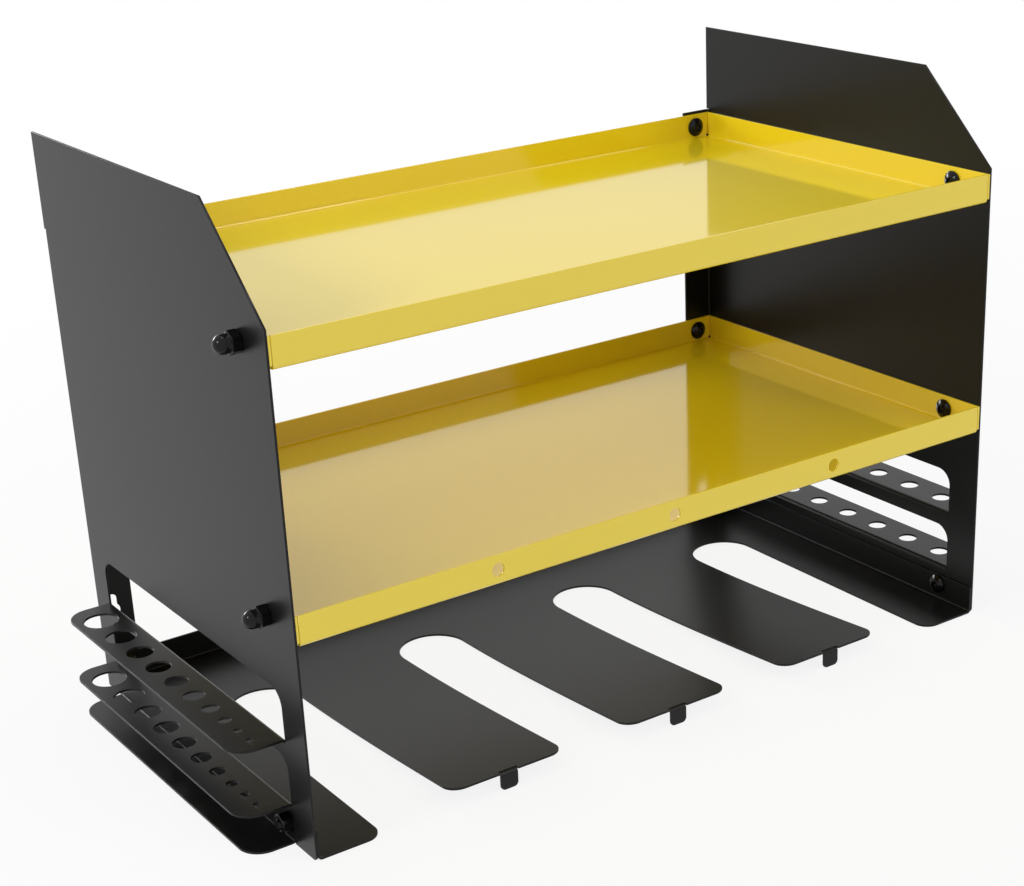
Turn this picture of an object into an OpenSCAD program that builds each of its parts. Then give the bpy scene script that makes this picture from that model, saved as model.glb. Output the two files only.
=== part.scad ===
/* [Overall] */
// Width over the two side panels, racks left out
body_w = 430; // [424:1:520]
// Depth from the wall to the front edges
body_d = 238; // [232:1:300]
// Height of the side panels
body_h = 306; // [280:1:380]
// Thickness of every sheet
sheet = 1.2; // [0.8:0.1:1.6]
// Radius on the inside of every bend
bend_in = 1; // [0.6:0.1:1.6]

/* [Side panels] */
// Distance from the front edges back to where the level top edge ends
slope_l = 51; // [10:1:90]
// Height at which the sloping corner meets the front edge
front_edge_h = 258; // [256:1:275]
// Width of the flange that is bent inwards along the wall
rear_flange_w = 20; // [19:0.5:30]
// Height of that flange
rear_flange_h = 257; // [256:1:275]
// How far the foot flange reaches out sideways
foot_reach = 23.5; // [18:0.5:40]
// Rounding of the panels' lower front corners
panel_corner_r = 2.5; // [1:0.5:6]
// Rounding of the outer corners of the foot flanges and racks
outer_corner_r = 12; // [3:0.5:17]

/* [Racks] */
// Distance from the wall to the racks, their windows and the feet
rack_back = 19; // [10:0.5:19]
// Distance from the front edges to the racks, their windows and the feet
rack_front = 20.6; // [12:0.2:40]
// How far a rack reaches out sideways
rack_reach = 26.2; // [24:0.2:36]
// Height of the top of the lower rack
lower_rack_z = 21.8; // [20:0.2:24]
// Height of the top of the upper rack
upper_rack_z = 56; // [55:0.5:70]
// Height of the window above each rack
window_h = 25; // [12:0.5:26]
// Rounding of the top corners of a window
window_r = 9; // [2:0.5:11]
// Distance from the panel's outer face to the line of holes
rack_hole_line = 13; // [12:0.2:14]
// Diameter of the largest hole of a left rack
graded_d = 18; // [12:0.5:20]
// Centre of the largest hole from the back end of its rack
graded_start = 19; // [12:0.5:30]
// Centre of the smallest hole from the front end of its rack
graded_end = 10.5; // [6:0.5:30]
// Diameter of the equal holes of a right rack
equal_d = 10.6; // [5:0.2:16]
// Centres of the outermost of them from the ends of their rack
equal_margin = 20; // [12:0.5:40]
// Number of them
equal_n = 7; // [2:1:9]

/* [Keyholes] */
// Diameter of the round part that a wall screw's head goes through
keyhole_d = 9; // [7:0.5:11]
// Width of the neck that the screw then hangs in
keyhole_neck_w = 6; // [3:0.1:6.6]
// Distance from the centre of the round part up to the middle of the neck's round end
keyhole_rise = 7; // [6:0.2:10]
// Distance from a panel's outer face to its keyholes
keyhole_in = 8.2; // [7:0.2:9]
// Height of the lower keyholes
lower_keyhole_z = 42; // [30:1:80]
// Height of the upper keyholes
upper_keyhole_z = 215; // [150:1:224]

/* [Shelves] */
// Height of a shelf's walls, measured outside
shelf_wall_h = 15.5; // [14:0.5:17]
// Height of the top shelf's underside
top_shelf_z = 239.7; // [238:0.1:240]
// Height of the lower shelf's underside
lower_shelf_z = 110.2; // [100:0.1:200]
// Width of the open seam in a shelf's upright corners
seam = 0.3; // [0.1:0.1:0.6]
// Diameter of the three holes in the lower shelf's front wall
front_hole_d = 7; // [3:0.5:8]

/* [Drill plate] */
// Distance between two slots, and between two holes of the lower shelf's front wall
bay_pitch = 106; // [98:1:110]
// Width of a slot
slot_w = 38.5; // [20:0.5:50]
// Distance from the wall to the round end of a slot
slot_back = 62; // [40:1:90]
// Distance from the wall to where the fingers begin to curve up
curve_back = 70; // [60:1:100]
// Height of the plate's upstands
upstand_h = 16; // [15.5:0.5:18]
// Rounding of the fingers' front corners
finger_r = 8.5; // [3:0.5:15]
// Height of a front tab, from the finger's top to the floor
tab_h = 10; // [6:0.5:14]
// Width of a front tab
tab_w = 10.2; // [8:0.2:16]
// Rounding of a tab's lower corners
tab_r = 2.6; // [0.5:0.1:3]

/* [Fasteners] */
// Diameter of a screw's shank
screw_d = 6; // [4:0.5:6]
// Clearance of the shank in the sheets, on the diameter
hole_play = 0.4; // [0.2:0.1:1]
// Clearance of the shank in a nut, on the diameter
nut_play = 0.1; // [0.04:0.02:0.2]
// Diameter of a screw's head
head_d = 11; // [9:0.5:11]
// Height of a screw's head
head_h = 3.3; // [2.5:0.1:4]
// Height of the upright rim of a screw's head
head_rim_h = 0.9; // [0.4:0.1:1.2]
// Hex socket of a screw, across flats
socket_af = 4; // [3:0.5:5]
// Depth of the hex socket
socket_h = 2; // [1:0.1:2.2]
// Width of a nut across its flats
nut_af = 10; // [8:0.5:11]
// Height of a plain nut
nut_h = 5; // [3:0.2:6]
// Total height of a cap nut
cap_nut_h = 12; // [10:0.5:13]
// Height of the hexagonal part of a cap nut
cap_hex_h = 5; // [3:0.2:6]
// Diameter of the dome of a cap nut
cap_d = 9.2; // [7.5:0.1:9.4]
// Depth of a cap nut's blind bore
cap_bore_h = 8.5; // [5:0.5:9]
// Room between a screw's end and the bottom of that bore
tip_gap = 1; // [0.5:0.1:2]
// Length of screw past a plain nut
screw_past = 0.8; // [0:0.1:2]
// Distance from the front edges to the side screws
side_screw_front = 26; // [20:0.5:40]
// Distance from a panel's outer face to the rear screws
rear_screw_in = 12; // [11.5:0.5:13]
// Height of the drill plate's screws
plate_screw_z = 10; // [9:0.2:10]

/* [Hidden] */
half_w = body_w / 2;
inner_x = half_w - sheet;
bend_out = bend_in + sheet;
floor_x = inner_x - bend_out;
fine = 64;
overrun = 2;
shelf_mid = shelf_wall_h / 2;
screw_hole_d = screw_d + hole_play;
rack_l = body_d - rack_back - rack_front;
rack_zs = [lower_rack_z, upper_rack_z];
equal_pitch = (rack_l - 2 * equal_margin) / (equal_n - 1);
keyhole_zs = [lower_keyhole_z, upper_keyhole_z];
screw_zs = [top_shelf_z + shelf_mid, lower_shelf_z + shelf_mid, plate_screw_z];
side_screw_y = side_screw_front - body_d;
// Diameters of the left racks' holes, as shares of the largest
graded_shares = [1, 8/9, 7/9, 13/18, 2/3, 7/12, 11/24, 1/3, 2/9, 1/6];
graded_n = len(graded_shares);
// How far apart the first and the last of them would stand if they touched each other
graded_sum = graded_d * (graded_shares * [for (share = graded_shares) 1]
    - (graded_shares[0] + graded_shares[graded_n - 1]) / 2);
// Sheet left between two of them
graded_web = (rack_l - graded_start - graded_end - graded_sum) / (graded_n - 1);
// The origin lies on the wall's face, in the middle of the four keyholes
datum_z = (lower_keyhole_z + upper_keyhole_z) / 2;
slot_n = 4;
slot_r = slot_w / 2;
slot_xs = [for (i = [0 : slot_n - 1]) (i - (slot_n - 1) / 2) * bay_pitch];
finger_xs = [for (i = [0 : slot_n - 2]) slot_xs[i] + bay_pitch / 2];
curve_steps = 16;
tab_root_y = body_d - bend_out;
head_sag = head_h - head_rim_h;
head_ball_r = (pow(head_d / 2, 2) + pow(head_sag, 2)) / (2 * head_sag);

PLACES = ["top_shelf", "lower_shelf", "drill_plate"];
SIDES = ["left", "right"];
PARTS = ["side_screw", "side_nut", "rear_screw", "rear_nut"];
function fastener(place, part, side) = str(PLACES[place], "_", part, "_", SIDES[side]);

// A quarter of a bent sheet's section, around the middle of its bend
module bend_section() {
    intersection() {
        difference() {
            circle(r = bend_out, $fn = fine);
            circle(r = bend_in, $fn = fine);
        }
        square(bend_out);
    }
}

// The section of a bend, its outside corner at the origin and the sheets it joins along +X and +Y
module corner_section() {
    translate([bend_out, bend_out])
        rotate(180)
            bend_section();
}

// A bend with one of its sheets, which stands along Y
module lip_section(height) {
    corner_section();
    translate([0, bend_out])
        square([sheet, height - bend_out]);
}

// A rectangle from the origin, reaching along X, with its two far corners rounded
module flap_outline(reach, width, r) {
    square([reach - r, width]);
    translate([0, r])
        square([reach, width - 2 * r]);
    for (y = [r, width - r])
        translate([reach - r, y])
            circle(r = r, $fn = fine);
}

// What a rounding of radius r takes off a corner at the origin, the sheet lying towards +X and +Y
module corner_waste(r) {
    difference() {
        translate([-overrun, -overrun])
            square(r + overrun);
        translate([r, r])
            circle(r = r, $fn = fine);
    }
}

// Turns a section drawn across X and Z into a strip along -Y
module along_depth(length) {
    rotate([90, 0, 0])
        linear_extrude(height = length)
            children();
}

// Turns a section drawn across Y and Z into a strip along +X
module along_width(length) {
    rotate([90, 0, 90])
        linear_extrude(height = length)
            children();
}

// Stands an outline drawn with X up and Y along the depth on a panel, as thick as given
module on_panel(thick) {
    rotate([0, -90, 0])
        linear_extrude(height = thick)
            children();
}

// One side panel, drawn as the right one, outer face at +half_w
module panel_sheet() {
    difference() {
        union() {
            translate([half_w, 0, 0])
                on_panel(sheet)
                    polygon([
                        [0, -bend_out], [0, -body_d], [front_edge_h, -body_d],
                        [body_h, slope_l - body_d], [body_h, 0], [rear_flange_h, 0],
                        [rear_flange_h, -bend_out]
                    ]);
            translate([half_w, 0, 0])
                mirror([1, 1, 0])
                    linear_extrude(height = rear_flange_h)
                        lip_section(rear_flange_w);
        }
        for (z = rack_zs)
            translate([half_w + overrun, -rack_back - rack_l, z - bend_out])
                on_panel(sheet + 2 * overrun)
                    flap_outline(window_h + bend_out, rack_l, window_r);
        translate([half_w + overrun, -rack_back - rack_l, -overrun])
            on_panel(sheet + 2 * overrun)
                square([bend_out + overrun, rack_l]);
        translate([half_w + overrun, -body_d, 0])
            on_panel(sheet + 2 * overrun)
                corner_waste(panel_corner_r);
        for (z = screw_zs) {
            translate([half_w + overrun, side_screw_y, z])
                on_panel(sheet + 2 * overrun)
                    circle(d = screw_hole_d, $fn = fine);
            translate([half_w - rear_screw_in, overrun, z])
                along_depth(sheet + 2 * overrun)
                    circle(d = screw_hole_d, $fn = fine);
        }
        for (z = keyhole_zs)
            translate([half_w - keyhole_in, overrun, z])
                along_depth(sheet + 2 * overrun)
                    keyhole_outline();
    }
}

// A keyhole: a round hole for a screw's head, with a narrow neck above it
module keyhole_outline() {
    circle(d = keyhole_d, $fn = fine);
    translate([-keyhole_neck_w / 2, 0])
        square([keyhole_neck_w, keyhole_rise]);
    translate([0, keyhole_rise])
        circle(d = keyhole_neck_w, $fn = fine);
}

// A strip bent out of the right panel: its flat part reaches outwards, one face at height z
module strip(reach, z, up) {
    translate([inner_x, -rack_back, z])
        mirror([0, 0, up ? 0 : 1])
            along_depth(rack_l)
                corner_section();
    translate([inner_x + bend_out, -rack_back - rack_l, up ? z : z - sheet])
        linear_extrude(height = sheet)
            flap_outline(reach - bend_in, rack_l, outer_corner_r);
}

// The right panel with its foot and its two racks, the racks still without holes
module panel_blank() {
    panel_sheet();
    strip(foot_reach, 0, true);
    for (z = rack_zs)
        strip(rack_reach, z, false);
}

// Cuts a hole of diameter d through both racks of the right panel, y from the racks' back end
module rack_hole(y, d) {
    translate([half_w + rack_hole_line, -rack_back - y, 0])
        for (z = rack_zs)
            translate([0, 0, z - sheet - overrun])
                cylinder(d = d, h = sheet + 2 * overrun, $fn = fine);
}

// Distance of a left rack's hole from the rack's back end
function graded_y(i) =
    i == 0 ? graded_start
           : graded_y(i - 1) + graded_web + graded_d * (graded_shares[i - 1] + graded_shares[i]) / 2;

module left_side_panel() {
    color("#1b1b1c")
        mirror([1, 0, 0])
            difference() {
                panel_blank();
                for (i = [0 : graded_n - 1])
                    rack_hole(graded_y(i), graded_d * graded_shares[i]);
            }
}

module right_side_panel() {
    color("#1b1b1c")
        difference() {
            panel_blank();
            for (i = [0 : equal_n - 1])
                rack_hole(equal_margin + i * equal_pitch, equal_d);
        }
}

// A tray between the panels: floor, four bends and four walls, with open upright corners.
// The front wall stands between the side walls, and the side walls end at the rear wall
module tray(z) {
    floor_back = sheet + bend_out;
    floor_l = body_d - bend_out - floor_back;
    front_half = inner_x - sheet - seam;
    translate([0, 0, z])
        difference() {
            union() {
                translate([-floor_x, -floor_back - floor_l, 0])
                    cube([2 * floor_x, floor_l, sheet]);
                for (side = [0, 1])
                    mirror([side, 0, 0]) {
                        translate([-inner_x, -floor_back, 0])
                            along_depth(floor_l)
                                corner_section();
                        translate([-inner_x, -body_d, bend_out])
                            cube([sheet, body_d - 2 * sheet - seam, shelf_wall_h - bend_out]);
                    }
                translate([0, -body_d, 0])
                    long_edge(front_half, front_half);
                translate([0, -sheet, 0])
                    mirror([0, 1, 0])
                        long_edge(floor_x, inner_x);
            }
            rear_screw_holes(shelf_mid);
            side_screw_holes(shelf_mid);
        }
}

// A tray's front or rear bend and its wall, each of a half length, the wall's outer face at y = 0
module long_edge(bend_half, wall_half) {
    translate([-bend_half, 0, 0])
        along_width(2 * bend_half)
            corner_section();
    translate([-wall_half, 0, bend_out])
        cube([2 * wall_half, sheet, shelf_wall_h - bend_out]);
}

// Holes at height z for the side screws, through what stands against the panels
module side_screw_holes(z) {
    for (side = [0, 1])
        mirror([side, 0, 0])
            translate([half_w, side_screw_y, z])
                on_panel(2 * sheet + overrun)
                    circle(d = screw_hole_d, $fn = fine);
}

// Holes at height z for the rear screws, through what stands against the rear flanges
module rear_screw_holes(z) {
    for (side = [0, 1])
        mirror([side, 0, 0])
            translate([half_w - rear_screw_in, 0, z])
                along_depth(2 * sheet + overrun)
                    circle(d = screw_hole_d, $fn = fine);
}

module top_shelf() {
    color("#d2b117")
        tray(top_shelf_z);
}

module lower_shelf() {
    color("#d2b117")
        difference() {
            tray(lower_shelf_z);
            for (x = finger_xs)
                translate([x, overrun - body_d, lower_shelf_z + shelf_mid])
                    along_depth(2 * overrun)
                        circle(d = front_hole_d, $fn = fine);
        }
}

// Height of a finger's underside at distance y from the wall, as a strip bent by a load at its tip
function finger_z(y) =
    let (s = (y - curve_back) / (tab_root_y - curve_back))
    (tab_h - sheet) * (3 * s * s - s * s * s) / 2;

// The drill plate from above, without its upstands: slots open to the front, corners rounded
module plate_outline() {
    difference() {
        translate([-floor_x, -body_d])
            square([2 * floor_x, body_d - sheet - bend_out]);
        for (x = slot_xs) {
            translate([x, -slot_back - slot_r])
                circle(r = slot_r, $fn = fine);
            translate([x - slot_r, -body_d - overrun])
                square([slot_w, body_d - slot_back - slot_r + overrun]);
            for (side = [0, 1])
                translate([x + (side - 1/2) * slot_w, -body_d])
                    mirror([1 - side, 0])
                        corner_waste(finger_r);
        }
    }
}

// The level part of the plate: behind the slots' ends, and the half fingers beside the panels
module level_sheet() {
    linear_extrude(height = sheet)
        difference() {
            plate_outline();
            translate([slot_xs[0], -body_d - overrun])
                square([slot_xs[slot_n - 1] - slot_xs[0], body_d + overrun - curve_back]);
        }
}

// The whole fingers, curving up from the level part, with room at the front for their tabs
module curved_sheet() {
    ys = [for (i = [0 : curve_steps]) curve_back + (body_d - curve_back) * i / curve_steps];
    under = [for (y = ys) [-y, finger_z(y)]];
    over = [for (i = [curve_steps : -1 : 0]) [-ys[i], finger_z(ys[i]) + sheet]];
    difference() {
        intersection() {
            translate([slot_xs[0], 0, 0])
                along_width(slot_xs[slot_n - 1] - slot_xs[0])
                    polygon(concat(under, over));
            translate([0, 0, -overrun])
                linear_extrude(height = tab_h + 2 * overrun)
                    plate_outline();
        }
        for (x = finger_xs)
            translate([x - tab_w / 2 - seam, -body_d - overrun, -overrun])
                cube([tab_w + 2 * seam, bend_out + overrun, tab_h + 2 * overrun]);
    }
}

// The tab bent down at the middle of a finger's front edge
module tab() {
    bend_z = finger_z(tab_root_y) - bend_in;
    translate([-tab_w / 2, -tab_root_y, bend_z])
        along_width(tab_w)
            mirror([1, 0])
                bend_section();
    translate([-tab_w / 2, -body_d + sheet, bend_z])
        rotate([90, 90, 0])
            linear_extrude(height = sheet)
                flap_outline(bend_z, tab_w, tab_r);
}

module drill_plate() {
    color("#1b1b1c") {
        difference() {
            union() {
                level_sheet();
                for (side = [0, 1])
                    mirror([side, 0, 0])
                        translate([-inner_x, -sheet - bend_out, 0])
                            along_depth(body_d - sheet - bend_out)
                                lip_section(upstand_h);
                translate([-floor_x, -sheet, 0])
                    mirror([0, 1, 0])
                        along_width(2 * floor_x)
                            lip_section(upstand_h);
            }
            rear_screw_holes(plate_screw_z);
            side_screw_holes(plate_screw_z);
        }
        curved_sheet();
        for (x = finger_xs)
            translate([x, 0, 0])
                tab();
    }
}

// A button-head screw along Z: the underside of its head at z = 0, its shank below
module screw(length) {
    color("#161617") {
        difference() {
            intersection() {
                cylinder(d = head_d, h = head_h, $fn = fine);
                translate([0, 0, head_h - head_ball_r])
                    sphere(r = head_ball_r, $fn = fine);
            }
            translate([0, 0, head_h - socket_h])
                cylinder(d = socket_af / cos(30), h = socket_h + overrun, $fn = 6);
        }
        translate([0, 0, -length])
            cylinder(d = screw_d, h = length, $fn = fine);
    }
}

// A hexagonal prism, its corners chamfered at the end that stands away from the sheet
module hex(height) {
    intersection() {
        cylinder(d = nut_af / cos(30), h = height, $fn = 6);
        cylinder(r1 = nut_af / 2, r2 = nut_af / 2 + height / tan(30), h = height, $fn = fine);
    }
}

// A plain nut below z = 0
module plain_nut() {
    color("#161617")
        difference() {
            translate([0, 0, -nut_h])
                hex(nut_h);
            translate([0, 0, -nut_h - overrun])
                cylinder(d = screw_d + nut_play, h = nut_h + 2 * overrun, $fn = fine);
        }
}

// A cap nut below z = 0, its blind bore open at the top
module cap_nut() {
    color("#161617")
        difference() {
            union() {
                translate([0, 0, -cap_hex_h])
                    hex(cap_hex_h);
                translate([0, 0, cap_d / 2 - cap_nut_h])
                    cylinder(d = cap_d, h = cap_nut_h - cap_hex_h - cap_d / 2, $fn = fine);
                translate([0, 0, cap_d / 2 - cap_nut_h])
                    sphere(d = cap_d, $fn = fine);
            }
            translate([0, 0, -cap_bore_h])
                cylinder(d = screw_d + nut_play, h = cap_bore_h + overrun, $fn = fine);
        }
}

// Puts a fastener on a side screw's axis, z = 0 on the inner sheet's inner face
module at_side(place, side) {
    mirror([1 - side, 0, 0])
        translate([half_w - 2 * sheet, side_screw_y, screw_zs[place]])
            rotate([0, -90, 0])
                children();
}

// Puts a fastener on a rear screw's axis, z = 0 on the front sheet's front face
module at_rear(place, side) {
    mirror([1 - side, 0, 0])
        translate([half_w - rear_screw_in, -2 * sheet, screw_zs[place]])
            rotate([90, 0, 0])
                children();
}

module side_screw(place, side) {
    capped = place < 2;
    past = capped ? cap_bore_h - tip_gap : nut_h + screw_past;
    at_side(place, side)
        screw(2 * sheet + past);
}

module side_nut(place, side) {
    at_side(place, side)
        translate([0, 0, -2 * sheet])
            if (place < 2)
                cap_nut();
            else
                plain_nut();
}

module rear_screw(place, side) {
    at_rear(place, side)
        screw(2 * sheet + nut_h);
}

module rear_nut(place, side) {
    at_rear(place, side)
        translate([0, 0, -2 * sheet])
            plain_nut();
}

// Moves what is drawn from the floor to the origin of the part
module seated() {
    translate([0, 0, -datum_z])
        children();
}

seated() left_side_panel();
seated() right_side_panel();
seated() top_shelf();
seated() lower_shelf();
seated() drill_plate();
for (place = [0 : 2])
    for (side = [0 : 1]) {
        seated() side_screw(place, side);
        seated() side_nut(place, side);
        seated() rear_screw(place, side);
        seated() rear_nut(place, side);
    }
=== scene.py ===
import math

import bmesh
import bpy
from mathutils import Matrix, Vector
from mathutils.geometry import tessellate_polygon


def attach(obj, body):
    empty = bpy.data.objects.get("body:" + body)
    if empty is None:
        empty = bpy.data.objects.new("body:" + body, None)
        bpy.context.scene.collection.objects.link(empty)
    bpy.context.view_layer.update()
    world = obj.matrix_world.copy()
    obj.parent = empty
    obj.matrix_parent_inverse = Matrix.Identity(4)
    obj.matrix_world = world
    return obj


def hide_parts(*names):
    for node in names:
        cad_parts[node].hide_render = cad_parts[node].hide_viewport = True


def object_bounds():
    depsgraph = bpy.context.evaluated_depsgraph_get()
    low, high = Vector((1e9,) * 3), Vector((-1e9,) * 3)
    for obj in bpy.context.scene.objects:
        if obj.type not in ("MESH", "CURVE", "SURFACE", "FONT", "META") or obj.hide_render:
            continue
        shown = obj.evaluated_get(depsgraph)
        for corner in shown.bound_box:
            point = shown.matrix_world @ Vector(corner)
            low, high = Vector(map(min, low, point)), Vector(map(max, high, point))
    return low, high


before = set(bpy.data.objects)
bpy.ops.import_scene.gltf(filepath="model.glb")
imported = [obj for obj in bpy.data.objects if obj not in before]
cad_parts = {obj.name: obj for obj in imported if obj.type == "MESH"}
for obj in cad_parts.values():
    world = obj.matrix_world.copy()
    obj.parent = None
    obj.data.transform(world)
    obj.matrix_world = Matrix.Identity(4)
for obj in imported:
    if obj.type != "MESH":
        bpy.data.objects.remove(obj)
cad_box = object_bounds()


# Side panels. Two black sheets stand against the wall, each with a flange along the wall, a foot and two
# racks bent out of it. Steel, laser cut and folded, with a satin black powder coat.

class Wire:
    """An output of one node, on which sums are written as Python expressions."""

    def __init__(self, tree, output=None):
        self.tree = tree
        self.output = output

    def node(self, kind, settings=None, inputs=None, take=0):
        """Adds a node, its settings first and then its inputs, each a value or another wire."""
        added = self.tree.nodes.new(kind)
        for name, value in (settings or {}).items():
            if name == "stops":
                stops = added.color_ramp.elements
                while len(stops) < len(value):
                    stops.new(1.0)
                for stop, (place, shade) in zip(stops, value):
                    stop.position = place
                    stop.color = shade
            else:
                setattr(added, name, value)
        for name, value in (inputs or {}).items():
            if isinstance(value, Wire):
                self.tree.links.new(value.output, added.inputs[name])
            else:
                added.inputs[name].default_value = value
        return Wire(self.tree, added.outputs[take] if len(added.outputs) else None)

    def also(self, name):
        """Another output of the same node."""
        return Wire(self.tree, self.output.node.outputs[name])

    def sum_of(self, operation, first, second):
        return self.node("ShaderNodeMath", {"operation": operation}, {0: first, 1: second})

    def __add__(self, other):
        return self.sum_of("ADD", self, other)

    def __radd__(self, other):
        return self.sum_of("ADD", other, self)

    def __sub__(self, other):
        return self.sum_of("SUBTRACT", self, other)

    def __rsub__(self, other):
        return self.sum_of("SUBTRACT", other, self)

    def __mul__(self, other):
        return self.sum_of("MULTIPLY", self, other)

    def __rmul__(self, other):
        return self.sum_of("MULTIPLY", other, self)


def new_finish(name):
    """An empty material, and a wire to start its nodes from."""
    finish = bpy.data.materials.new(name)
    finish.use_nodes = True
    finish.node_tree.nodes.clear()
    return finish, Wire(finish.node_tree)


def coated(name, dark, light, rough, rough_swing, peel_mm, peel_depth, ior):
    """Baked powder coat: a colour that drifts a little, and the peel that the powder leaves as it melts."""
    finish, start = new_finish(name)
    place = start.node("ShaderNodeTexCoord", take="Object")
    drift = start.node("ShaderNodeTexNoise", {}, {
        "Vector": place, "Scale": 9.0, "Detail": 2.0, "Roughness": 0.5})
    peel = start.node("ShaderNodeTexNoise", {}, {
        "Vector": place, "Scale": 1000.0 / peel_mm, "Detail": 2.0, "Roughness": 0.55})
    grit = start.node("ShaderNodeTexNoise", {}, {
        "Vector": place, "Scale": 3600.0 / peel_mm, "Detail": 1.0, "Roughness": 0.5})
    shade = start.node("ShaderNodeMix", {"data_type": "RGBA"}, {"Factor": drift, 6: dark, 7: light}, take=2)
    bump = start.node("ShaderNodeBump", {}, {
        "Height": peel + grit * 0.25, "Distance": peel_depth, "Strength": 1.0})
    surface = start.node("ShaderNodeBsdfPrincipled", {}, {
        "Base Color": shade, "Roughness": (drift + grit) * rough_swing + (rough - rough_swing), "IOR": ior,
        "Normal": bump})
    start.node("ShaderNodeOutputMaterial", {}, {"Surface": surface})
    return finish


black_coat = coated("black_powder_coat", dark=(0.005, 0.005, 0.005, 1.0), light=(0.0062, 0.0061, 0.006, 1.0),
                    rough=0.32, rough_swing=0.04, peel_mm=0.9, peel_depth=0.00001, ior=1.31)

sheet = 0.0012
bend_in = 0.001
bend_out = bend_in + sheet
bend_run = (bend_in + sheet / 2) * math.pi / 2
floor_z = cad_box[0][2]


def arc(centre, radius, first, last, steps=12):
    """Points on a circle, or on an ellipse of two radii, from one angle to another."""
    wide, high = radius if isinstance(radius, tuple) else (radius, radius)
    turns = [math.radians(first + (last - first) * i / steps) for i in range(steps + 1)]
    return [(centre[0] + wide * math.cos(turn), centre[1] + high * math.sin(turn)) for turn in turns]


def drilled(centre, radius, steps=72):
    """A round hole."""
    return arc(centre, radius, 0.0, -360.0, steps)[:-1]


def blank(outlines, soft=0.00018):
    """The flat sheet as it is cut, from an outline round it and those of its holes, its edges a little soft."""
    cut = bmesh.new()
    quarter = [(soft * (1 - math.sin(a)), soft * (1 - math.cos(a))) for a in (0.0, math.pi / 4, math.pi / 2)]
    levels = quarter + [(inset, sheet - depth) for inset, depth in reversed(quarter)]
    caps = ([], [])
    for outline in outlines:
        count = len(outline)
        rings = [[] for _ in levels]
        for i, (u, v) in enumerate(outline):
            back, ahead = Vector(outline[i - 1]), Vector(outline[(i + 1) % count])
            here = Vector((u, v))
            come, go = (here - back).normalized(), (ahead - here).normalized()
            side = Vector((-come.y - go.y, come.x + go.x))
            side /= max(0.25, 1.0 + come.dot(go))
            for ring, (inset, depth) in zip(rings, levels):
                ring.append(cut.verts.new((u + side.x * inset, v + side.y * inset, depth)))
        for low, high in zip(rings, rings[1:]):
            for i in range(count):
                j = (i + 1) % count
                cut.faces.new((low[i], low[j], high[j], high[i]))
        caps[0].append(rings[0])
        caps[1].append(rings[-1])
    for upper, rings in enumerate(caps):
        flat = [vert for ring in rings for vert in ring]
        loops = [[Vector((vert.co.x, vert.co.y, 0.0)) * 1000.0 for vert in ring] for ring in rings]
        for a, b, c in tessellate_polygon(loops):
            one, two, three = flat[a], flat[b], flat[c]
            area = (two.co - one.co).cross(three.co - one.co).z
            cut.faces.new((one, two, three) if (area > 0) == bool(upper) else (one, three, two))
    slivers = [face for face in cut.faces if face.calc_area() < 1e-12]
    long_edges = {max(face.edges, key=lambda edge: edge.calc_length()) for face in slivers}
    bmesh.ops.dissolve_edges(cut, edges=list(long_edges))
    return cut


def score(cut, along, lines):
    """Cuts a sheet's faces along straight lines, so that it can bend there."""
    axis = Vector((1.0, 0.0, 0.0)) if along == "u" else Vector((0.0, 1.0, 0.0))
    for line in lines:
        everything = cut.verts[:] + cut.edges[:] + cut.faces[:]
        bmesh.ops.bisect_plane(cut, geom=everything, dist=1e-7, plane_co=axis * line, plane_no=axis)


def bend_lines(first, way, steps=10):
    """The lines across a bend that starts at one line and runs one way."""
    return [first + way * bend_run * i / steps for i in range(steps + 1)]


def turned_over(past, depth):
    """Where a point comes to that lies past the start of a square bend: how far on, and how far out of the
    sheet. Its depth is measured from the face that ends up outside."""
    if past <= 0.0:
        return past, depth
    if past < bend_run:
        turn = past / bend_run * math.pi / 2
        return (bend_out - depth) * math.sin(turn), bend_out - (bend_out - depth) * math.cos(turn)
    return bend_out - depth, bend_out + past - bend_run


def piece(name, cut, shape, finish):
    """Folds a flat sheet by a rule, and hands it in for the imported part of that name."""
    for vert in cut.verts:
        vert.co = shape(*vert.co)
    bmesh.ops.recalc_face_normals(cut, faces=cut.faces[:])
    mesh = bpy.data.meshes.new(name)
    cut.to_mesh(mesh)
    cut.free()
    mesh.shade_smooth()
    made = bpy.data.objects.new(name + "_sheet", mesh)
    bpy.context.scene.collection.objects.link(made)
    made.modifiers.new("even_shading", "WEIGHTED_NORMAL").weight = 50
    mesh.materials.append(finish)
    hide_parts(name)
    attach(made, "root")


half_w = 0.215
inner_x = half_w - sheet
body_d, body_h = 0.238, 0.306
rack_back, rack_l = 0.019, 0.1984
rack_front = rack_back + rack_l
kerf = 0.0003
window_h, window_r, corner_r = 0.025, 0.009, 0.012
foot_flat, rack_flat = 0.0225, 0.0252
squeeze = (window_h + bend_out - kerf - bend_run) / rack_flat
rack_tops = (0.0218, 0.056)
flange_h = 0.257
flange_end = bend_run - bend_out + 0.02 - bend_out
slope_l, front_edge_h = 0.051, 0.258
screw_hole_r = 0.0032
screw_heights = (0.24745, 0.11795, 0.01)
screw_back, screw_in = body_d - 0.026, 0.012
low_corner_r = 0.0025
hole_line = 0.013 + sheet
keyhole_r, neck_r, neck_rise = 0.0045, 0.003, 0.007
keyhole_in, keyhole_heights = 0.0082, (0.042, 0.215)


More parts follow.
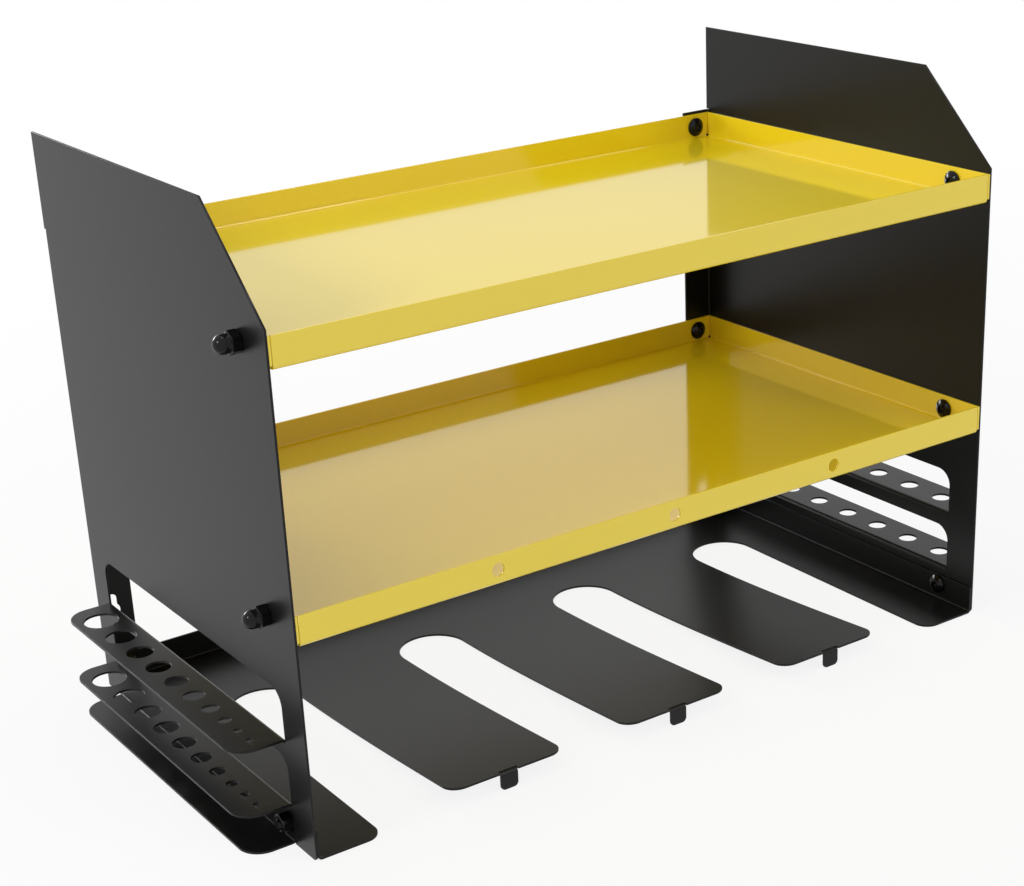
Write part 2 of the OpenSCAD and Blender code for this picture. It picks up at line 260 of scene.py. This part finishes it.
def panel_outlines(rack_holes):
    """A side panel's blank, seen from outside on the right: depth across, height up."""
    edge = arc((-body_d + low_corner_r, low_corner_r), low_corner_r, 180.0, 270.0, 6)
    foot_end = bend_out - bend_run - foot_flat
    edge += [(-rack_front, 0.0), (-rack_front, bend_out), (-rack_front + kerf, bend_out)]
    edge += arc((-rack_front + kerf + corner_r, foot_end + corner_r), corner_r, 180.0, 270.0)
    edge += arc((-rack_back - kerf - corner_r, foot_end + corner_r), corner_r, 270.0, 360.0)
    edge += [(-rack_back - kerf, bend_out), (-rack_back, bend_out), (-rack_back, 0.0), (flange_end, 0.0)]
    edge += [(flange_end, flange_h - kerf), (-bend_out, flange_h - kerf), (-bend_out, flange_h)]
    edge += [(0.0, flange_h), (0.0, body_h), (slope_l - body_d, body_h), (-body_d, front_edge_h)]
    outlines = [edge]
    for top in rack_tops:
        start = top - bend_out
        end = start + bend_run + rack_flat * squeeze
        gap = [(-rack_front, start)]
        gap += arc((-rack_front + window_r, top + window_h - window_r), window_r, 180.0, 90.0)
        gap += arc((-rack_back - window_r, top + window_h - window_r), window_r, 90.0, 0.0)
        gap += [(-rack_back, start), (-rack_back - kerf, start)]
        tall = corner_r * squeeze
        gap += arc((-rack_back - kerf - corner_r, end - tall), (corner_r, tall), 0.0, 90.0)
        gap += arc((-rack_front + kerf + corner_r, end - tall), (corner_r, tall), 90.0, 180.0)
        gap += [(-rack_front + kerf, start)]
        outlines.append(gap)
        line = start + bend_run + (hole_line - bend_out) * squeeze
        for back, radius in rack_holes:
            outlines.append(drilled((-rack_back - back, line), (radius, radius * squeeze)))
    for height in screw_heights:
        outlines.append(drilled((-screw_back, height), screw_hole_r))
        outlines.append(drilled((bend_run - bend_out + screw_in - bend_out, height), screw_hole_r))
    across = bend_run - bend_out + keyhole_in - bend_out
    lean = math.degrees(math.asin(neck_r / keyhole_r))
    for height in keyhole_heights:
        round_part = arc((across, height), keyhole_r, 90.0 - lean, -270.0 + lean, 44)
        outlines.append(round_part + arc((across, height + neck_rise), neck_r, 180.0, 0.0, 16))
    return outlines


def panel_shape(side):
    """The rule that folds a panel's blank, for the left (-1) or the right (1)."""
    def place(u, v, depth):
        x, y, z = inner_x + depth, u, v
        if u > -bend_out and v < flange_h - kerf / 2:
            on, out = turned_over(u + bend_out, sheet - depth)
            x, y = half_w - out, on - bend_out
        elif -rack_front + kerf / 2 < u < -rack_back - kerf / 2:
            if v < bend_out:
                on, out = turned_over(bend_out - v, depth)
                x, z = inner_x + out, bend_out - on
            for top in rack_tops:
                start = top - bend_out
                end = start + bend_run + rack_flat * squeeze
                if start < v < end + kerf / 2:
                    off = max(0.0, abs(u + (rack_front + rack_back) / 2) - (rack_l / 2 - kerf - corner_r))
                    above = max(0.0, v - end + corner_r * squeeze) / squeeze
                    if off * off + above * above > (corner_r + 0.0002) ** 2:
                        continue
                    past = v - start
                    if past > bend_run:
                        past = bend_run + (past - bend_run) / squeeze
                    on, out = turned_over(past, depth)
                    x, z = inner_x + out, start + on
        return Vector((side * x, y, z + floor_z))
    return place


graded = (0.009, 0.008, 0.007, 0.0065, 0.006, 0.00525, 0.004125, 0.003, 0.002, 0.0015)
first_back, last_front = 0.019, 0.0105
web = (rack_l - first_back - last_front - 2 * sum(graded) + graded[0] + graded[-1]) / (len(graded) - 1)
graded_holes = [(first_back, graded[0])]
for before, radius in zip(graded, graded[1:]):
    graded_holes.append((graded_holes[-1][0] + web + before + radius, radius))
equal_back, equal_pitch, equal_r = 0.02, 0.0264, 0.0053
equal_holes = [(equal_back + equal_pitch * i, equal_r) for i in range(7)]

for name, side, rack_holes in (("left_side_panel", -1.0, graded_holes), ("right_side_panel", 1.0, equal_holes)):
    cut = blank(panel_outlines(rack_holes))
    score(cut, "u", bend_lines(-bend_out, 1.0))
    score(cut, "v", bend_lines(bend_out, -1.0))
    for top in rack_tops:
        score(cut, "v", bend_lines(top - bend_out, 1.0))
    piece(name, cut, panel_shape(side), black_coat)


# Shelves. Two yellow trays stand between the panels: a floor with four low walls folded up, with open seams at
# the corners. Steel with a glossy yellow coat, screwed through their side walls and rear walls.

yellow_coat = coated("yellow_paint", dark=(0.865, 0.655, 0.010, 1.0), light=(0.885, 0.675, 0.014, 1.0),
                     rough=0.08, rough_swing=0.01, peel_mm=1.6, peel_depth=0.000003, ior=1.8)

floor_x = inner_x - bend_out
wall_h = 0.0155
tray_front, tray_back = -body_d + bend_out, -sheet - bend_out
seam = 0.0003
bay_pitch = 0.106
front_hole_r = 0.0035


def up_the_wall(height):
    """How far past a bend's start a point lies that ends up at that height."""
    return bend_run + height - bend_out


def tray_outlines(front_holes):
    """A shelf's blank from above, its walls still flat. The front wall stands between the side walls."""
    reach = up_the_wall(wall_h)
    front_end, side_start = inner_x - sheet - seam, floor_x + bend_run
    side_back = -2 * sheet - seam
    edge = [(front_end, tray_front - reach), (front_end, tray_front - kerf), (floor_x, tray_front - kerf),
            (floor_x, tray_front), (side_start, tray_front), (side_start, -body_d), (floor_x + reach, -body_d),
            (floor_x + reach, side_back), (side_start, side_back), (side_start, tray_back),
            (floor_x, tray_back), (floor_x, tray_back + bend_run), (inner_x, tray_back + bend_run),
            (inner_x, tray_back + reach)]
    edge += [(-x, y) for x, y in reversed(edge)]
    outlines = [edge]
    halfway = up_the_wall(wall_h / 2)
    for side in (1, -1):
        outlines.append(drilled((side * (floor_x + halfway), -screw_back), screw_hole_r))
        outlines.append(drilled((side * (half_w - screw_in), tray_back + halfway), screw_hole_r))
    if front_holes:
        outlines += [drilled((x, tray_front - halfway), front_hole_r) for x in (-bay_pitch, 0.0, bay_pitch)]
    return outlines


def tray_shape(under):
    """The rule that folds up a shelf's four walls, its underside at that height."""
    def place(u, v, depth):
        x, y, z = u, v, depth
        between_ends = tray_front - 0.0001 < v < tray_back + 0.0001
        if abs(u) > floor_x + bend_run - 0.0001 or (abs(u) > floor_x and between_ends):
            on, z = turned_over(abs(u) - floor_x, depth)
            x = math.copysign(floor_x + on, u)
        elif v < tray_front:
            on, z = turned_over(tray_front - v, depth)
            y = tray_front - on
        elif v > tray_back:
            on, z = turned_over(v - tray_back, depth)
            y = tray_back + on
        return Vector((x, y, z + under + floor_z))
    return place


for name, under in (("top_shelf", 0.2397), ("lower_shelf", 0.1102)):
    cut = blank(tray_outlines(name == "lower_shelf"))
    score(cut, "u", bend_lines(floor_x, 1.0) + bend_lines(-floor_x, -1.0))
    score(cut, "v", bend_lines(tray_front, -1.0) + bend_lines(tray_back, 1.0))
    piece(name, cut, tray_shape(under), yellow_coat)


# Drill plate. The black bottom plate, with four slots that drills hang in and a low upstand on three sides.
# The same coated steel as the panels, its fingers bent up towards the front and ending in small tabs.

upstand, plate_screw_h = 0.016, 0.01
slot_r, slot_end = 0.01925, -0.062
slot_xs = [(i - 1.5) * bay_pitch for i in range(4)]
finger_xs = [-bay_pitch, 0.0, bay_pitch]
finger_r, curve_back = 0.0085, 0.07
tab_top, tab_half, tab_r = 0.01, 0.0051, 0.0026
tab_root = body_d - bend_out


def lift(back):
    """How high a finger's underside stands, at a distance from the wall."""
    share = max(0.0, (back - curve_back) / (tab_root - curve_back))
    return (tab_top - sheet) * (3 * share * share - share ** 3) / 2


def plate_outlines():
    """The drill plate's blank from above, its upstands and tabs still flat."""
    reach = up_the_wall(upstand)
    edge = [(-floor_x, tray_back), (-floor_x - reach, tray_back), (-floor_x - reach, -body_d)]
    for i, x in enumerate(slot_xs):
        edge += arc((x - slot_r - finger_r, finger_r - body_d), finger_r, 270.0, 360.0)
        edge += arc((x, slot_end - slot_r), slot_r, 180.0, 0.0, 48)
        edge += arc((x + slot_r + finger_r, finger_r - body_d), finger_r, 180.0, 270.0)
        if i < 3:
            middle = finger_xs[i]
            tip = -tab_root - bend_run - lift(tab_root) + bend_in
            for side in (-1, 1):
                gap_x = middle + side * (tab_half + seam)
                slit = [(gap_x, -body_d), (gap_x, -tab_root), (middle + side * tab_half, -tab_root)]
                corner = arc((middle + side * (tab_half - tab_r), tip + tab_r), tab_r,
                             225.0 + side * 45.0, 315.0 + side * 45.0, 8)
                edge += slit + corner if side < 0 else corner + slit[::-1]
    edge += [(floor_x + reach, -body_d), (floor_x + reach, tray_back), (floor_x, tray_back),
             (floor_x, tray_back + reach), (-floor_x, tray_back + reach)]
    outlines = [edge]
    for side in (1, -1):
        outlines.append(drilled((side * (floor_x + up_the_wall(plate_screw_h)), -screw_back), screw_hole_r))
        outlines.append(drilled((side * (half_w - screw_in), tray_back + up_the_wall(plate_screw_h)),
                                screw_hole_r))
    return outlines


def plate_shape(u, v, depth):
    """The rule that folds up the plate's upstands, lifts its fingers and folds their tabs down."""
    x, y, z = u, v, depth
    if v > tray_back:
        on, z = turned_over(v - tray_back, depth)
        y = tray_back + on
    elif abs(u) > floor_x:
        on, z = turned_over(abs(u) - floor_x, depth)
        x = math.copysign(floor_x + on, u)
    elif slot_xs[0] < u < slot_xs[3] and v < -curve_back:
        middle = min(finger_xs, key=lambda x: abs(u - x))
        if v < -tab_root and abs(u - middle) < tab_half + seam / 2:
            on, down = turned_over(-tab_root - v, sheet - depth)
            y = -tab_root - on
            z = lift(tab_root) + sheet - down
        else:
            z = depth + lift(-v)
    return Vector((x, y, z + floor_z))


cut = blank(plate_outlines())
score(cut, "u", bend_lines(floor_x, 1.0) + bend_lines(-floor_x, -1.0))
score(cut, "v", bend_lines(tray_back, 1.0) + bend_lines(-tab_root, -1.0)
      + [-curve_back - (tab_root - curve_back) * i / 24 for i in range(24)])
piece("drill_plate", cut, plate_shape, black_coat)


# Screws and nuts. Button-head screws with a hex socket hold the shelves and the drill plate to the panels and
# to their rear flanges. Blackened steel; cap nuts close the shelves' side screws, and plain nuts the others.

blackened = coated("black_fastener", dark=(0.003, 0.003, 0.003, 1.0), light=(0.005, 0.005, 0.0049, 1.0),
                   rough=0.13, rough_swing=0.02, peel_mm=0.5, peel_depth=0.000002, ior=1.3)


def new_shape_tree(name, sizes):
    """An empty Geometry Nodes tree with those sizes as inputs, and a wire for each."""
    tree = bpy.data.node_groups.new(name, "GeometryNodeTree")
    tree.interface.new_socket("Geometry", in_out="INPUT", socket_type="NodeSocketGeometry")
    for size in sizes:
        tree.interface.new_socket(size, in_out="INPUT", socket_type="NodeSocketFloat")
    tree.interface.new_socket("Place", in_out="INPUT", socket_type="NodeSocketVector")
    tree.interface.new_socket("Turn", in_out="INPUT", socket_type="NodeSocketVector")
    tree.interface.new_socket("Finish", in_out="INPUT", socket_type="NodeSocketMaterial")
    tree.interface.new_socket("Geometry", in_out="OUTPUT", socket_type="NodeSocketGeometry")
    first = Wire(tree).node("NodeGroupInput")
    return tree, first, [first.also(size) for size in sizes]


def smaller(first, second):
    return first.sum_of("MINIMUM", first, second)


def turned_form(start, rows, ball_radius=0.0, ball_centre=1.0, around=72, joined=False):
    """A turned form: each row has a radius, a width across flats that it stays within, and a height.
    Rows that reach above the ball stop on it. Joined rows run back to the first one, as round a bore."""
    count = len(rows)
    tube = start.node("GeometryNodeMeshCylinder", {"fill_type": "NONE" if joined else "NGON"},
                      {"Vertices": around, "Side Segments": count - 1, "Radius": 1.0, "Depth": 1.0})
    spot = start.node("GeometryNodeInputPosition")
    across = start.node("ShaderNodeSeparateXYZ", {}, {0: spot})
    turn = start.sum_of("ARCTAN2", across.also("Y"), across)
    row = start.node("FunctionNodeFloatToInt", {"rounding_mode": "ROUND"}, {
        0: across.also("Z") * (count - 1.0) + 0.5 * (count - 1.0)})
    picks = []
    for column in range(3):
        pick = start.tree.nodes.new("GeometryNodeIndexSwitch")
        pick.data_type = "FLOAT"
        while len(pick.index_switch_items) < count:
            pick.index_switch_items.new()
        start.tree.links.new(row.output, pick.inputs[0])
        for i, values in enumerate(rows):
            value = values[column]
            if isinstance(value, Wire):
                start.tree.links.new(value.output, pick.inputs[i + 1])
            else:
                pick.inputs[i + 1].default_value = value
        picks.append(Wire(start.tree, pick.outputs[0]))
    radius, flats, height = picks
    sector = start.sum_of("FLOORED_MODULO", turn + 2 * math.pi, math.pi / 3) - math.pi / 6
    radius = smaller(radius, start.sum_of("DIVIDE", flats * 0.5, start.sum_of("COSINE", sector, 0.0)))
    under_ball = start.sum_of("MAXIMUM", ball_radius * ball_radius - radius * radius, 0.0)
    height = smaller(height, start.sum_of("SQRT", under_ball, 0.0) + ball_centre)
    made = start.node("ShaderNodeCombineXYZ", {}, {
        "X": start.sum_of("COSINE", turn, 0.0) * radius, "Y": start.sum_of("SINE", turn, 0.0) * radius,
        "Z": height})
    form = start.node("GeometryNodeSetPosition", {}, {"Geometry": tube, "Position": made})
    if joined:
        form = start.node("GeometryNodeMergeByDistance", {}, {"Geometry": form, "Distance": 0.000001})
    return form


def finish_tree(start, forms, first):
    """Puts the forms in place and gives them their finish."""
    whole = forms[0]
    if len(forms) > 1:
        join = start.tree.nodes.new("GeometryNodeJoinGeometry")
        for form in forms:
            start.tree.links.new(form.output, join.inputs[0])
        whole = Wire(start.tree, join.outputs[0])
    smooth = start.node("GeometryNodeSetShadeSmooth", {}, {"Geometry": whole})
    placed = start.node("GeometryNodeTransform", {}, {
        "Geometry": smooth, "Translation": first.also("Place"), "Rotation": first.also("Turn")})
    real = start.node("GeometryNodeRealizeInstances", {}, {"Geometry": placed})
    coated_form = start.node("GeometryNodeSetMaterial", {}, {
        "Geometry": real, "Material": first.also("Finish")})
    start.node("NodeGroupOutput", {}, {"Geometry": coated_form})


far = 1.0  # stands for no limit in a row of a turned form

screw_tree, first, (head_d, head_h, rim_h, socket, socket_h, shank_d, length, pitch) = new_shape_tree(
    "button_head_screw", ("Head Diameter", "Head Height", "Rim Height", "Socket Width", "Socket Depth",
                          "Thread Diameter", "Length", "Pitch"))
head_r = head_d * 0.5
sag = head_h - rim_h
ball = first.sum_of("DIVIDE", head_r * head_r + sag * sag, sag * 2.0)
rows = [(head_r - 0.0002, far, 0.0), (head_r - 0.00006, far, 0.00006), (head_r, far, 0.0002),
        (head_r, far, rim_h)]
rows += [(head_r * share, far, far) for share in (0.985, 0.96, 0.92, 0.86, 0.79, 0.72, 0.65, 0.58, 0.52)]
rows += [(head_r * 0.47, far, far), (far, socket + 0.0003, far), (far, socket + 0.0001, head_h - 0.0004),
         (far, socket, head_h - 0.0006), (far, socket, head_h - socket_h + 0.0001),
         (far, socket - 0.0002, head_h - socket_h), (socket * 0.2, far, head_h - socket_h - 0.0003)]
head = turned_form(first, rows, ball, head_h - ball)
shank = first.node("GeometryNodeMeshCylinder", {"fill_type": "NGON"}, {
    "Vertices": 48, "Side Segments": 84, "Radius": 1.0, "Depth": 1.0})
across = first.node("ShaderNodeSeparateXYZ", {}, {0: first.node("GeometryNodeInputPosition")})
turn = first.sum_of("ARCTAN2", across.also("Y"), across)
down = (0.5 - across.also("Z")) * length
winding = first.sum_of("DIVIDE", down, pitch) - turn * (0.5 / math.pi)
groove = first.sum_of("PINGPONG", winding, 0.5) * pitch * 1.1
thread_r = smaller(shank_d * 0.5 - groove, shank_d * 0.5 - 0.0009 + (length - down))
moved = first.node("ShaderNodeCombineXYZ", {}, {
    "X": first.sum_of("COSINE", turn, 0.0) * thread_r, "Y": first.sum_of("SINE", turn, 0.0) * thread_r,
    "Z": down * -1.0})
threaded = first.node("GeometryNodeSetPosition", {}, {"Geometry": shank, "Position": moved})
finish_tree(first, [head, threaded], first)


def hexagon_rows(flats, height, top_share=0.475):
    """Rows up the outside of a hexagon. Its corners are chamfered outside a share of its width, and its edges
    are a little soft."""
    chamfer_slope = 0.577
    softening = ((0.0, 0.0003), (0.00004, 0.00016), (0.0001, 0.00007), (0.0002, 0.0), (0.0004, 0.0),
                 (0.00055, 0.0))
    rows = []
    for share in (0.475, top_share):
        rows.append([(flats * share + step / chamfer_slope - 0.5 * soft, flats - 2.0 * soft, step)
                     for step, soft in softening])
    return rows[0] + [(reach, wide, height - step) for reach, wide, step in reversed(rows[1])]


nut_tree, first, (flats, height, bore_d) = new_shape_tree("plain_nut", ("Width", "Height", "Bore Diameter"))
bore = bore_d * 0.5
mouth = 0.0004
rows = [(bore + mouth, far, height), (bore, far, height - mouth), (bore, far, mouth), (bore + mouth, far, 0.0)]
rows += hexagon_rows(flats, height) + [(bore + mouth, far, height)]
finish_tree(first, [turned_form(first, rows, joined=True)], first)

cap_tree, first, (flats, hex_h, bore_d, depth, dome_d, height) = new_shape_tree(
    "cap_nut", ("Width", "Hexagon Height", "Bore Diameter", "Bore Depth", "Dome Diameter", "Height"))
bore, dome = bore_d * 0.5, dome_d * 0.5
rows = [(bore, far, depth), (bore, far, mouth), (bore + mouth, far, 0.0)]
rows += hexagon_rows(flats, hex_h, 0.56)
rows += [(dome + 0.00025, far, hex_h), (dome + 0.00007, far, hex_h + 0.0001), (dome, far, hex_h + 0.0003),
         (dome, far, height - dome)]
rows += [(dome * math.cos(math.radians(angle)), far, far) for angle in (10, 20, 30, 40, 50, 60, 68, 76, 83, 88)]
finish_tree(first, [turned_form(first, rows, dome, height - dome)], first)


def fastener(name, tree, sizes, place, turn):
    """Makes one screw or nut in its place as a plain mesh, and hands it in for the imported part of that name."""
    holder = bpy.data.objects.new(name + "_maker", bpy.data.meshes.new(name + "_maker"))
    bpy.context.scene.collection.objects.link(holder)
    maker = holder.modifiers.new("maker", "NODES")
    maker.node_group = tree
    sockets = {item.name: item.identifier for item in tree.interface.items_tree if item.in_out == "INPUT"}
    for size, value in list(sizes.items()) + [("Place", place), ("Turn", turn), ("Finish", blackened)]:
        maker[sockets[size]] = value
    mesh = bpy.data.meshes.new_from_object(holder.evaluated_get(bpy.context.evaluated_depsgraph_get()))
    bpy.data.objects.remove(holder)
    mesh.name = name
    mesh.materials.pop(index=0)
    mesh.polygons.foreach_set("material_index", [0] * len(mesh.polygons))
    mesh.set_sharp_from_angle(angle=math.radians(38.0))
    made = bpy.data.objects.new(name + "_piece", mesh)
    bpy.context.scene.collection.objects.link(made)
    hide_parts(name)
    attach(made, "root")


screw_sizes = {"Head Diameter": 0.011, "Head Height": 0.0033, "Rim Height": 0.0009, "Socket Width": 0.004,
               "Socket Depth": 0.002, "Thread Diameter": 0.006, "Pitch": 0.001}
nut_sizes = {"Width": 0.01, "Height": 0.005, "Bore Diameter": 0.0061}
cap_sizes = {"Width": 0.01, "Hexagon Height": 0.005, "Bore Diameter": 0.0061, "Bore Depth": 0.0085,
             "Dome Diameter": 0.0092, "Height": 0.012}
quarter = math.pi / 2
for place, height in zip(("top_shelf", "lower_shelf", "drill_plate"), screw_heights):
    capped = place != "drill_plate"
    for side, way in (("left", -1.0), ("right", 1.0)):
        z = height + floor_z
        grip = 2 * sheet
        side_screw = dict(screw_sizes, Length=grip + (0.0075 if capped else 0.0058))
        rear_screw = dict(screw_sizes, Length=grip + nut_sizes["Height"])
        fastener(f"{place}_side_screw_{side}", screw_tree, side_screw, (way * (half_w - grip), -screw_back, z),
                 (0.0, -way * quarter, 0.0))
        fastener(f"{place}_side_nut_{side}", cap_tree if capped else nut_tree,
                 cap_sizes if capped else nut_sizes, (way * half_w, -screw_back, z), (0.0, way * quarter, 0.0))
        fastener(f"{place}_rear_screw_{side}", screw_tree, rear_screw, (way * (half_w - screw_in), -grip, z),
                 (quarter, 0.0, 0.0))
        fastener(f"{place}_rear_nut_{side}", nut_tree, nut_sizes, (way * (half_w - screw_in), 0.0, z),
                 (-quarter, 0.0, 0.0))


# Studio. A wide pale floor and white surroundings give soft light from all round. Four soft lamps add to it:
# one above, one low behind the object that reaches in between the shelves, and two that give highlights.

def seen_directly(start):
    """1 where the camera or a reflection sees the background, and 0 where it only gives light."""
    path = start.node("ShaderNodeLightPath", take="Is Camera Ray")
    mirrored = start.sum_of("MAXIMUM", path.also("Is Glossy Ray"), path.also("Is Transmission Ray"))
    return start.sum_of("MAXIMUM", path, mirrored)


world = bpy.data.worlds.new("studio")
world.use_nodes = True
world.node_tree.nodes.clear()
bpy.context.scene.world = world
start = Wire(world.node_tree)
white = start.node("ShaderNodeBackground", {}, {"Color": (1.0, 1.0, 1.0, 1.0), "Strength": 1.0})
soft = start.node("ShaderNodeBackground", {}, {"Color": (1.0, 1.0, 1.0, 1.0), "Strength": 0.58})
start.node("ShaderNodeOutputWorld", {}, {
    "Surface": start.node("ShaderNodeMixShader", {}, {0: seen_directly(start), 1: soft, 2: white})})

mesh = bpy.data.meshes.new("studio_floor")
half = 14.0
corners = [(x * half, y * half, floor_z) for x, y in ((-1, -1), (1, -1), (1, 1), (-1, 1))]
mesh.from_pydata(corners, [], [(0, 1, 2, 3)])
floor = bpy.data.objects.new("studio_floor", mesh)
bpy.context.scene.collection.objects.link(floor)
pale, start = new_finish("pale_floor")
place = start.node("ShaderNodeTexCoord", take="Object")
away = start.node("ShaderNodeVectorMath", {"operation": "LENGTH"}, {0: place}, take=1)
share = start.node("ShaderNodeMapRange", {"interpolation_type": "SMOOTHSTEP"}, {
    "Value": away, "From Min": 0.4, "From Max": 1.4, "To Min": 0.86, "To Max": 1.0})
matt = start.node("ShaderNodeBsdfDiffuse", {}, {"Color": (0.82, 0.82, 0.82, 1.0)})
glow = start.node("ShaderNodeEmission", {}, {"Color": (1.0, 1.0, 1.0, 1.0), "Strength": 1.0})
start.node("ShaderNodeOutputMaterial", {}, {
    "Surface": start.node("ShaderNodeMixShader", {}, {0: seen_directly(start) * share, 1: matt, 2: glow})})
mesh.materials.append(pale)


def lamp(name, place, width, height, power):
    """A rectangular soft light that looks at the middle of the object."""
    light = bpy.data.lights.new(name, "AREA")
    light.shape = "RECTANGLE"
    light.size = width
    light.size_y = height
    light.energy = power
    holder = bpy.data.objects.new(name, light)
    bpy.context.scene.collection.objects.link(holder)
    holder.location = place
    holder.rotation_euler = (Vector((0.0, -0.1, 0.0)) - holder.location).to_track_quat("-Z", "Y").to_euler()


lamp("top_light", (0.0, -0.1, 2.2), 0.9, 0.9, 4.0)
lamp("back_light", (-0.5, 2.0, 0.65), 1.2, 0.5, 24.0)
lamp("left_light", (-1.87, -0.34, 1.24), 0.5, 0.5, 12.0)
lamp("front_light", (0.71, -1.7, 1.08), 0.6, 0.3, 5.5)

# The camera stands to the left of the object and above it, as the photograph was taken.
camera = bpy.data.cameras.new("camera")
camera.sensor_width = 36.0
camera.lens = 71.83
camera.shift_x = -0.0682
camera.shift_y = 0.1091
camera.clip_start = 0.05
camera.clip_end = 60.0
viewer = bpy.data.objects.new("camera", camera)
bpy.context.scene.collection.objects.link(viewer)
right = Vector((0.811451, -0.583429, -0.034017))
down = Vector((-0.256305, -0.302959, -0.917891))
forward = Vector((0.525219, 0.753542, -0.395372))
viewer.matrix_world = Matrix.Translation((-0.5786, -0.98527, 0.37589)) @ Matrix(
    (right, -down, -forward)).transposed().to_4x4()
bpy.context.scene.camera = viewer
bpy.context.scene.view_settings.view_transform = "Standard"
